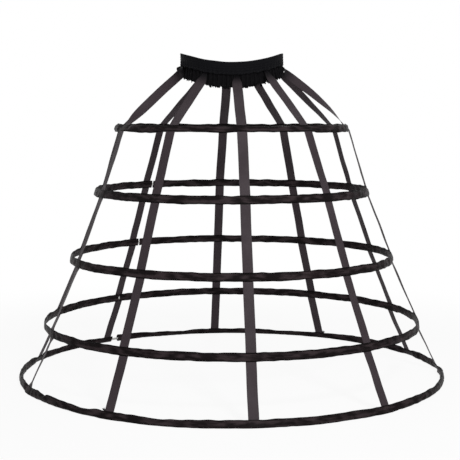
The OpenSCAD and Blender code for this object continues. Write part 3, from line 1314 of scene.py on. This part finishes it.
    def build(self) -> None:
        """Makes the casing with its seams."""
        layers = [self.make_layer(1.0), self.make_layer(-1.0)]
        seam = self.seam(layers)
        piece = cloth_piece(f"hoop_satin_{self.hoop + 1}", layers, self.satin, self.cloth)
        length = (self.angles[-1] - self.angles[0]) * self.radius
        flat = (4 * self.form.half_w(self.hoop), float(length))
        declare_cloth(piece, self.node, flat)


@dataclass
class StrapLine:
    """A strap's line: distances along it and from the seam, heights, shares of its upper run, frame."""

    length: np.ndarray
    from_seam: np.ndarray
    height: np.ndarray
    share: np.ndarray
    base: np.ndarray
    across: np.ndarray
    normal: np.ndarray


@dataclass
class RibbonStrap:
    """One strap: a flat ribbon from behind the elastic, through four casings and into the bottom one."""

    form: CageForm
    place: Place
    twill: bpy.types.Material
    cloth: float = 0.6 * MM
    columns: int = 9
    step: float = 2.5 * MM
    corner: float = 1.2 * MM
    corner_trim: float = 0.2 * MM
    corner_room: float = 0.45
    corner_step: float = math.radians(18.0)
    # Smaller turns count as straight, so that the last digit of a sum never adds a row
    straight: float = math.radians(0.01)
    bow_steps: int = 24
    landing: float = 3.0
    # Points of the line's upper run, among which it passes the seam
    crown: int = 40
    # Distances from the seam over which the ribbon squares up, turns, comes loose and is drawn into pleats
    root: Span = (3.5 * MM, 12.0 * MM)
    turn_in: Span = (3.5 * MM, 25.0 * MM)
    loose: Span = (8.0 * MM, 45.0 * MM)
    pleat_in: float = 8.0 * MM
    squared: Span = (0.85, 1.0)
    # Distances from a hoop: clear of its casing, where the ribbon is loose, and the rise of its lower turn
    hoop_clear: float = 2.0 * MM
    hoop_loose: float = 48.0 * MM
    bay_rise: float = 10.0 * MM
    gathered: float = 0.54
    gather_end: float = 40.0 * MM
    quick: float = 0.4
    pleat: float = 0.6 * MM
    pleats: float = 2.5
    seed_step: float = 3.0
    ripple: Drift = Drift(1.1 * MM, 0.055, 2.9)
    stray: Drift = Drift(0.8 * MM, 0.090, 7.7)
    twist: Drift = Drift(math.radians(5.0), 0.100, 12.5)
    curl: Drift = Drift(0.5 * MM, 0.040, 18.3)

    def corners(self, start: float) -> np.ndarray:
        """Lists the corners of the line that a strap's back follows.

        Args:
            start: how far out the strap begins, along its own course.

        Returns:
            Rows of reach and height.
        """
        form = self.form
        seam = float(form.band_seam(self.place.waist))
        first = np.array([start, seam - form.strap_out])
        last = np.array(form.way_in(0))
        fall = math.atan2(first[1] - last[1], last[0] - first[0])
        leave, land = fall - self.place.spring, fall + self.place.spring
        reach = np.linalg.norm(last - first)
        out = first + form.strap_w * np.array([math.cos(leave), -math.sin(leave)])
        home = last - reach / self.landing * np.array([math.cos(land), -math.sin(land)])
        t = np.linspace(0.0, 1.0, self.bow_steps)[:, None]
        s = 1 - t
        bow = s ** 3 * first + 3 * s ** 2 * t * out + 3 * s * t ** 2 * home + t ** 3 * last
        ways = [form.way_out(0)]
        for hoop in range(1, form.hem + 1):
            ways += [form.way_in(hoop), form.way_out(hoop)]
        return np.concatenate([[[start, seam + form.tuck]], bow, ways])

    def offset(self, line: np.ndarray) -> np.ndarray:
        """Moves the back's line out to the middle of the ribbon.

        Args:
            line: rows of reach and height.

        Returns:
            The moved line.
        """
        run = np.diff(line, axis=0)
        normal = unit(np.stack([-run[:, 1], run[:, 0]], -1))
        before, after = np.concatenate([normal[:1], normal]), np.concatenate([normal, normal[-1:]])
        mitre = unit(before + after)
        depth = self.form.sew_gap + self.form.strap_t / 2
        return line + mitre * depth / np.sum(mitre * before, -1, keepdims=True)

    def rounded(self, line: np.ndarray) -> np.ndarray:
        """Rounds a line's corners and fills its straight runs.

        Args:
            line: rows of reach and height.

        Returns:
            A closer row of points.
        """
        path = [line[0]]
        for before, corner, after in zip(line, line[1:], line[2:]):
            back, on = before - corner, after - corner
            turn = math.pi - math.acos(np.clip(np.dot(unit(back), unit(on)), -1.0, 1.0))
            room = self.corner_room * min(np.linalg.norm(back), np.linalg.norm(on))
            trim = min(self.corner * math.tan(turn / 2) + self.corner_trim, room)
            ends = corner + unit(back) * trim, corner + unit(on) * trim
            steps = math.ceil(turn / self.corner_step) if turn > self.straight else 0
            for t in np.linspace(0.0, 1.0, 2 + steps):
                path.append((1 - t) ** 2 * ends[0] + 2 * t * (1 - t) * corner + t * t * ends[1])
        path.append(line[-1])
        filled = [path[0]]
        for one, other in zip(path, path[1:]):
            pieces = max(1, math.ceil(np.linalg.norm(other - one) / self.step))
            filled += [one + (other - one) * k / pieces for k in range(1, pieces + 1)]
        return np.array(filled)

    def angle(self, height: np.ndarray) -> np.ndarray:
        """Finds the strap's angle, which is steady in a casing and drifts between two.

        Args:
            height: heights above the floor.

        Returns:
            The angle at each height.
        """
        form = self.form
        hoops = range(form.hem, -1, -1)
        knots = [way(hoop)[1] for hoop in hoops for way in (form.way_out, form.way_in)]
        angles = [form.strap_angle(self.place, hoop) for hoop in hoops for _ in range(2)]
        return np.interp(height, knots, angles)

    def make_line(self) -> StrapLine:
        """Finds the line of a flat strap, straight from the waist to the top hoop and then down the cage.

        Returns:
            The line, with directions across and out of the strap.
        """
        form, place = self.form, self.place
        rest = form.oval(place.waist) - form.oval_normal(place.waist) * form.strap_layer(place.waist)
        end, top = form.way_in(0)
        joint = form.outward(place.top) * end
        course = unit(joint - rest)
        start = end - float(np.linalg.norm(joint - rest))
        path = self.rounded(self.offset(self.corners(start)))
        length = running(np.linalg.norm(np.diff(path, axis=0), axis=1))
        reach, height = path[:, 0], path[:, 1]
        angle = self.angle(height)
        upper = (height > top)[:, None]
        heading = np.where(upper, course, form.outward(angle))
        straight = joint + course * (reach - end)[:, None]
        base = np.where(upper, straight, form.outward(angle) * reach[:, None])
        base[:, 2] = height
        slope = unit(np.gradient(path, axis=0))
        normal = -slope[:, 1:] * heading
        normal[:, 2] = slope[:, 0]
        share = np.clip((reach - start) / (end - start), 0.0, 1.0)
        seam = float(form.band_seam(place.waist))
        from_seam = length - np.interp(-seam, -height[:self.crown], length[:self.crown])
        seamed = form.oval_tangent(place.waist) + np.array([0.0, 0.0, form.seam_slope(place.waist)])
        across = unit(seamed * (1 - share[:, None]) + form.round(angle) * share[:, None])
        run = unit(np.gradient(base, axis=0))
        square = (smooth(from_seam, *self.root) * (1 - smooth(share, *self.squared)))[:, None]
        across = unit(across - run * np.sum(across * run, -1, keepdims=True) * square)
        return StrapLine(length, from_seam, height, share, base, across, normal)

    def make_grid(self) -> ClothGrid:
        """Lays the ribbon along its line, gathered and turned below the waist and loose between hoops.

        Returns:
            The middle of the cloth.
        """
        form, place, line = self.form, self.place, self.make_line()
        bay = np.ones_like(line.height)
        free = smooth(line.from_seam, *self.loose)
        for hoop, z in enumerate(form.hoop_z):
            away, half_w = np.abs(line.height - z), form.half_w(hoop)
            bay = bay * smooth(away, half_w, half_w + self.bay_rise)
            free = free * smooth(away, form.casing_w / 2 + self.hoop_clear, self.hoop_loose)
        lower = place.lower_turn * bay * np.clip(1.0 - line.height / form.way_in(0)[1], 0.0, 1.0)
        turned = place.turn * (1 - line.share ** place.hold) * smooth(line.from_seam, *self.turn_in)
        open_by = self.gather_end * (self.quick + (1.0 - self.quick) * math.cos(place.turn) ** 2)
        drawn = 1.0 - smooth(line.from_seam, 0.0, open_by)
        width = form.strap_w * (1.0 - self.gathered * drawn)
        sunk = width / 2 * np.abs(np.sin(turned)) * (1 - line.share)
        base = line.base - line.normal * sunk[:, None]
        twist = (turned + lower)[:, None]
        across = line.across * np.cos(twist) + line.normal * np.sin(twist)
        normal = line.normal * np.cos(twist) - line.across * np.sin(twist)
        seed = place.foot * self.seed_step
        ripple, curl, swing, stray = (
            drift.along(line.length, seed) * free
            for drift in (self.ripple, self.curl, self.twist, self.stray)
        )
        x = np.linspace(-0.5, 0.5, self.columns)
        lift = ripple[:, None] + np.outer(curl, 4 * x * x) + np.outer(swing * form.strap_w, x)
        pleated = drawn * smooth(line.from_seam, 0.0, self.pleat_in)
        lift = lift + self.pleat * np.outer(pleated, np.cos(FULL_TURN * self.pleats * x))
        slide = np.outer(width, x) + stray[:, None]
        points = base[:, None] + across[:, None] * slide[..., None] + normal[:, None] * lift[..., None]
        return ClothGrid(points, cut_places(x * form.strap_w, line.length))

    def build(self) -> None:
        """Makes the ribbon."""
        grid = self.make_grid()
        piece = cloth_piece(f"ribbon_{self.place.label}", [grid], self.twill, self.cloth)
        flat = (self.form.strap_w, float(grid.flat[-1, 0, 1]))
        declare_cloth(piece, self.place.node, flat)


@dataclass
class WaistElastic:
    """The ribbed elastic, puckered along its seam and pushed out where the straps are tucked behind it."""

    form: CageForm
    knit: bpy.types.Material
    thread: bpy.types.Material
    stations: int = 640
    face_rows: int = 29
    back_rows: int = 8
    groove: float = 0.6 * MM
    bead: float = 0.5 * MM
    bead_steps: int = 7
    pucker: float = 0.9 * MM
    pucker_top: float = 0.75
    bulge: float = 0.7 * MM
    # Fading of the bulge: up the band in shares of the tuck, and sideways in shares of the strap's width
    bulge_up: Span = (0.3, 1.3)
    bulge_side: Span = (0.25, 0.85)
    seam_rows: Span = (2.0 * MM, 5.0 * MM)
    stitch: float = 2.4 * MM
    stitch_pitch: float = 3.4 * MM
    wave_fade: float = 30.0 * MM
    edge_wave: Drift = Drift(0.9 * MM, 0.035, 3.3)
    hem_wave: Drift = Drift(2.2 * MM, 0.009, 14.6)
    face_wave: Drift = Drift(0.7 * MM, 0.045, 8.8)

    def make_grid(self) -> ClothGrid:
        """Shapes the band.

        Returns:
            The band's closed surface.
        """
        form = self.form
        angle = np.linspace(0.0, FULL_TURN, self.stations + 1)
        rate = form.oval_rate(angle)
        arc = running((rate[1:] + rate[:-1]) / 2 * np.diff(angle))
        angle, place = angle[:-1], arc[:-1]
        rows = np.linspace(0.0, form.elastic_w, self.face_rows)
        share = rows / form.elastic_w
        ribs = self.groove * (0.5 + 0.5 * np.cos(FULL_TURN * form.elastic_ribs * share))
        turn = np.linspace(0.0, math.pi, self.bead_steps)[1:-1]
        over = form.elastic_t / 2 * (1 - np.cos(turn))
        depth = np.concatenate([ribs, over, np.full(self.back_rows, form.elastic_t)])
        back = np.linspace(form.elastic_w, 0.0, self.back_rows)
        height = np.concatenate([rows, form.elastic_w + self.bead * np.sin(turn), back])
        low, high = self.bulge_up
        still = np.zeros(len(turn) + self.back_rows)
        seamed = np.concatenate([1 - smooth(share, 0.0, self.pucker_top), still])
        tucked = np.concatenate([1 - smooth(rows, low * form.tuck, high * form.tuck), still])
        loose = np.concatenate([np.sin(math.pi * share), still])
        near, far = self.bulge_side
        from_strap = form.strap_distance(angle, [strap.waist for strap in Place], form.waist_r)
        push = self.bulge * (1 - smooth(from_strap, near * form.strap_w, far * form.strap_w))
        out = np.outer(push, tucked) - depth
        out = out + np.outer(self.pucker * np.sin(form.gather_phase(angle)) - self.pucker, seamed)
        out = out + np.outer(self.face_wave.along(place), loose)
        fade = smooth(np.minimum(place, arc[-1] - place), 0.0, self.wave_fade)
        wave = self.edge_wave.along(place) * fade
        hem = self.hem_wave.along(place) * fade
        points = form.oval(angle)[:, None] + form.oval_normal(angle)[:, None] * out[..., None]
        up = height / form.elastic_w
        points[..., 2] = form.band_seam(angle)[:, None] + height + np.outer(wave, up ** 2)
        points[..., 2] += np.outer(hem, (1 - np.clip(up, 0.0, 1.0)) ** 2)
        steps = np.hypot(np.diff(depth), np.diff(height))
        around = np.concatenate([running(steps), [np.sum(steps) + form.elastic_t]])
        return ClothGrid(points, cut_places(around, arc), rows_meet=True, columns_meet=True)

    def seam(self, grid: ClothGrid) -> bpy.types.Object:
        """Sews the band to the straps and the frill.

        Args:
            grid: the band's surface.

        Returns:
            The piece of thread.
        """
        length = float(grid.flat[-1, 0, 1])
        count = round(length / self.stitch_pitch)
        starts = np.arange(count) * self.stations / count
        work = Needlework(self.thread)
        for height in self.seam_rows:
            column = height / self.form.elastic_w * (self.face_rows - 1)
            work.follow(grid, starts, column, self.stitch / length * self.stations, 0.0)
        return work.build("waist_seam", Slot.ELASTIC)

    def build(self) -> None:
        """Makes the band with its seam."""
        grid = self.make_grid()
        seam = self.seam(grid)
        piece = grid.solid("waist_band_knit", self.knit)
        flat = (self.form.elastic_w, float(grid.flat[-1, 0, 1]))
        declare_cloth(piece, "waist_elastic", flat)


@dataclass
class WaistFrill:
    """The gathered strip behind the elastic: tight at the seam, open and ragged at its lower edge."""

    form: CageForm
    cotton: bpy.types.Material
    per_gather: int = 20
    rows: int = 17
    cloth: float = 0.5 * MM
    seam_depth: float = 1.4 * MM
    start_fade: float = 0.2
    # Depth of the gathers: mean and reach, waves round the waist, start of the first and least depth
    swell: Span = (0.8, 0.2)
    swell_waves: tuple[int, int] = (5, 11)
    swell_start: float = math.radians(20.0)
    swell_least: float = 0.35
    open_power: float = 1.4
    open_out: float = 0.6
    roll: float = 1.3 * MM
    roll_power: float = 0.7
    roll_least: float = 0.6
    rag: float = 1.6 * MM
    rag_power: int = 3
    rag_waves: tuple[tuple[int, float], ...] = ((23, math.radians(70.0)), (41, 0.0))
    depth_drift: Drift = Drift(0.7, 0.012, 4.1)
    phase_drift: Drift = Drift(1.8, 0.021, 6.6)
    rag_drift: Drift = Drift(8.0 * MM, 0.0042, 10.9)
    crumple: Drift = Drift(1.4 * MM, 0.006, 16.2)
    # Puffs: angle and reach, then where they rise and fade in shares of the drop
    puffs: tuple[Span, ...] = ((math.radians(273.0), 13.0 * MM), (math.radians(79.0), 9.0 * MM))
    puff_spread: float = math.radians(3.5)
    puff_rise: Span = (-0.05, 0.2)
    puff_fade: Span = (0.3, 0.8)
    # Dents behind straps that turn further than this: depth, fading sideways and down
    dent_turn: float = math.radians(45.0)
    dent: float = 7.0 * MM
    dent_side: Span = (0.45, 0.9)
    dent_down: float = 0.3

    def make_grid(self) -> ClothGrid:
        """Gathers the strip round the waist.

        Returns:
            The middle of the cloth.
        """
        form = self.form
        angle = np.linspace(0.0, FULL_TURN, form.gathers * self.per_gather + 1)[:-1]
        place = angle * form.waist_r
        fade = smooth(np.minimum(angle, FULL_TURN - angle), 0.0, self.start_fade)
        phase = form.gather_phase(angle) + self.phase_drift.along(place) * fade
        (mean, reach), (slow, quick) = self.swell, self.swell_waves
        swell = mean + reach * np.sin(slow * angle + self.swell_start) * np.sin(quick * angle)
        swell = np.clip(swell + self.depth_drift.along(place) * fade, self.swell_least, 1.0)
        share = np.linspace(-form.tuck / form.ruffle_drop, 1.0, self.rows)
        below = np.maximum(share, 0.0)
        opened = below ** self.open_power
        depth = self.seam_depth + (form.gather_depth - self.seam_depth) * opened
        wave = swell * np.sin(phase)
        out = form.ruffle_flare * opened + depth * (wave[:, None] - 1 + self.open_out * opened)
        out = out + np.outer(self.crumple.along(place) * fade, opened * below)
        out = out + self.pushes(angle, share)
        rolled = np.maximum(opened ** self.roll_power, self.roll_least)
        roll = np.outer(-self.roll * np.sin(2 * phase), rolled)
        waves = [np.sin(count * angle + start) for count, start in self.rag_waves]
        ragged = sum(waves) / len(waves) * self.rag + self.rag_drift.along(place) * fade
        hang = form.ruffle_drop * share + np.outer(ragged, below ** self.rag_power)
        normal = form.oval_normal(angle)
        base = form.oval(angle) - normal * (form.strap_layer(angle) + form.ruffle_t / 2)[:, None]
        points = base[:, None] + normal[:, None] * out[..., None]
        points = points + form.oval_tangent(angle)[:, None] * roll[..., None]
        points[..., 2] = form.band_seam(angle)[:, None] - hang
        edge = np.linalg.norm((np.roll(points[:, -1], -1, 0) - points[:, -1])[:, :2], axis=1)
        across = (share - share[0]) * form.ruffle_drop
        return ClothGrid(points, cut_places(across, running(edge)), rows_meet=True)

    def pushes(self, angle: np.ndarray, share: np.ndarray) -> np.ndarray:
        """Gives the puffs beside straps and the dents behind those that turn.

        Args:
            angle: places round the waist.
            share: places of the rows down the drop.

        Returns:
            Distances outwards, one for each place and row.
        """
        form = self.form
        puff = sum(reach * np.exp(-((angle - at) / self.puff_spread) ** 2) for at, reach in self.puffs)
        shown = smooth(share, *self.puff_rise) * (1 - smooth(share, *self.puff_fade))
        turned = [strap.waist for strap in Place if abs(strap.turn) > self.dent_turn]
        apart = form.strap_distance(angle, turned, form.waist_r)
        near, far = self.dent_side
        dent = self.dent * (1 - smooth(apart, near * form.strap_w, far * form.strap_w))
        return np.outer(puff, shown) - np.outer(dent, smooth(share, 0.0, self.dent_down))

    def build(self) -> None:
        """Makes the frill."""
        grid = self.make_grid()
        piece = cloth_piece("waist_frill_cotton", [grid], self.cotton, self.cloth)
        width, length = grid.flat[-1, -1]
        flat = (float(width), float(length))
        declare_cloth(piece, "waist_ruffle", flat)


@dataclass
class Boning:
    """The steel strips and their sleeves, which keep their CAD solids and take finishes."""

    hoops: int
    steel: bpy.types.Material
    brass: bpy.types.Material

    def dress(self, node: str, material: bpy.types.Material) -> None:
        """Gives a CAD node its finish.

        Args:
            node: the node's name.
            material: its finish.
        """
        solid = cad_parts[node]
        if not solid.material_slots:
            solid.data.materials.append(material)
        for slot in solid.material_slots:
            slot.material = material
        LOG.info("%s takes %s", node, material.name)

    def build(self) -> None:
        """Dresses all strips and sleeves."""
        for hoop in range(1, self.hoops + 1):
            self.dress(f"bone_{hoop}", self.steel)
            self.dress(f"joiner_{hoop}", self.brass)


@dataclass(frozen=True)
class Lamp:
    """A soft square lamp: where it hangs, its width, its power and what it faces."""

    name: str
    place: tuple[float, float, float]
    width: float
    power: float
    target: tuple[float, float, float] = (0.0, 0.0, 0.38)

    def hang(self) -> None:
        """Adds the lamp to the scene."""
        light = bpy.data.lights.new(self.name, "AREA")
        light.shape = "SQUARE"
        light.size = self.width
        light.energy = self.power
        lamp = bpy.data.objects.new(self.name, light)
        lamp.location = self.place
        aim = Vector(self.target) - Vector(self.place)
        lamp.rotation_euler = aim.to_track_quat("-Z", "Y").to_euler()
        bpy.context.scene.collection.objects.link(lamp)


@dataclass
class Studio:
    """White floor and background, soft lamps, and the camera of the photograph."""

    image: float = 460.0
    focal: float = 1147.6
    sensor: float = 36.0
    camera_place: tuple[float, float, float] = (-0.0039, -2.7007, 0.6103)
    camera_pitch: float = math.radians(5.665)
    world_level: float = 0.22
    floor_width: float = 16.0
    floor_drop: float = 0.3 * MM
    paper: Colour = (0.92, 0.92, 0.92, 1.0)
    shadow_fade: Span = (0.7, 1.6)
    shadow_share: float = 0.08
    lamps: tuple[Lamp, ...] = (
        Lamp("key_lamp", (0.9, -2.5, 2.2), 0.5, 52.0),
        Lamp("fill_lamp", (-0.5, -3.2, 0.5), 1.4, 18.0),
        Lamp("left_lamp", (-2.6, 0.4, 1.5), 1.2, 2.0),
        Lamp("right_lamp", (2.6, 0.4, 1.5), 1.2, 2.0),
        Lamp("back_lamp", (0.4, 2.6, 2.2), 0.8, 12.0),
    )

    def camera(self) -> None:
        """Sets up the camera."""
        lens = bpy.data.cameras.new("camera")
        lens.sensor_fit = "HORIZONTAL"
        lens.sensor_width = self.sensor
        lens.lens = self.sensor * self.focal / self.image
        camera = bpy.data.objects.new("camera", lens)
        camera.location = self.camera_place
        camera.rotation_euler = (math.pi / 2 - self.camera_pitch, 0.0, 0.0)
        bpy.context.scene.collection.objects.link(camera)
        bpy.context.scene.camera = camera

    def seen(self, graph: Graph) -> Socket:
        """Tells rays that show the background from those that light the cage.

        Args:
            graph: the nodes that ask.

        Returns:
            A socket that is 1 for camera, glossy and transmission rays.
        """
        rays = graph.add("ShaderNodeLightPath", {}).outputs
        total = graph.math("MAXIMUM", rays["Is Camera Ray"], rays["Is Glossy Ray"])
        return graph.math("MAXIMUM", total, rays["Is Transmission Ray"])

    def world(self) -> None:
        """Makes a white background that lights the cage at a plain level."""
        graph = Graph(bpy.data.worlds.new("studio"))
        shades = {0: self.seen(graph)}
        for number, level in enumerate((self.world_level, 1.0), 1):
            shade = graph.add("ShaderNodeBackground", {"Color": WHITE, "Strength": level})
            shades[number] = shade.outputs[0]
        mixed = graph.add("ShaderNodeMixShader", shades)
        graph.add("ShaderNodeOutputWorld", {"Surface": mixed.outputs[0]})
        bpy.context.scene.world = graph.owner

    def floor_finish(self) -> bpy.types.Material:
        """Makes the floor white, with the shadow kept near the cage.

        Returns:
            The floor's material.
        """
        graph = Graph(bpy.data.materials.new("studio_floor"))
        away = graph.add("ShaderNodeVectorMath", {0: graph.body_place()}, operation="LENGTH")
        clear = graph.step(away.outputs["Value"], *self.shadow_fade)
        bare = graph.weigh(1 - self.shadow_share, (clear, self.shadow_share))
        share = graph.math("MULTIPLY", bare, self.seen(graph))
        paper = graph.add("ShaderNodeBsdfDiffuse", {"Color": self.paper})
        white = graph.add("ShaderNodeEmission", {"Color": WHITE, "Strength": 1.0})
        mixed = graph.add("ShaderNodeMixShader", {0: share, 1: paper.outputs[0], 2: white.outputs[0]})
        graph.add("ShaderNodeOutputMaterial", {"Surface": mixed.outputs[0]})
        return graph.owner

    def floor(self) -> None:
        """Lays the floor."""
        half = self.floor_width / 2
        corners = [(-half, -half), (half, -half), (half, half), (-half, half)]
        mesh = bpy.data.meshes.new("floor")
        mesh.from_pydata([(x, y, -self.floor_drop) for x, y in corners], [], [(0, 1, 2, 3)])
        mesh.materials.append(self.floor_finish())
        floor = bpy.data.objects.new("floor", mesh)
        bpy.context.scene.collection.objects.link(floor)

    def build(self) -> None:
        """Sets up the whole studio."""
        bpy.context.scene.view_settings.view_transform = "Standard"
        self.camera()
        self.world()
        self.floor()
        for lamp in self.lamps:
            lamp.hang()


def main() -> None:
    """Builds the cage's looks piece by piece, then the studio."""
    logging.basicConfig(level=logging.INFO, format="%(name)s: %(message)s")
    form = CageForm()
    thread = SewingThread().material()
    satin = CasingSatin().material()
    twill = RibbonTwill().material()
    Boning(form.hem + 1, CoatedSteel().material(), SleeveBrass().material()).build()
    for hoop in range(form.hem + 1):
        HoopCasing(form, hoop, satin, thread).build()
    for place in Place:
        RibbonStrap(form, place, twill).build()
    WaistElastic(form, RibbedElastic().material(), thread).build()
    WaistFrill(form, FrillCotton().material()).build()
    Studio().build()


if __name__ == "__main__":
    main()
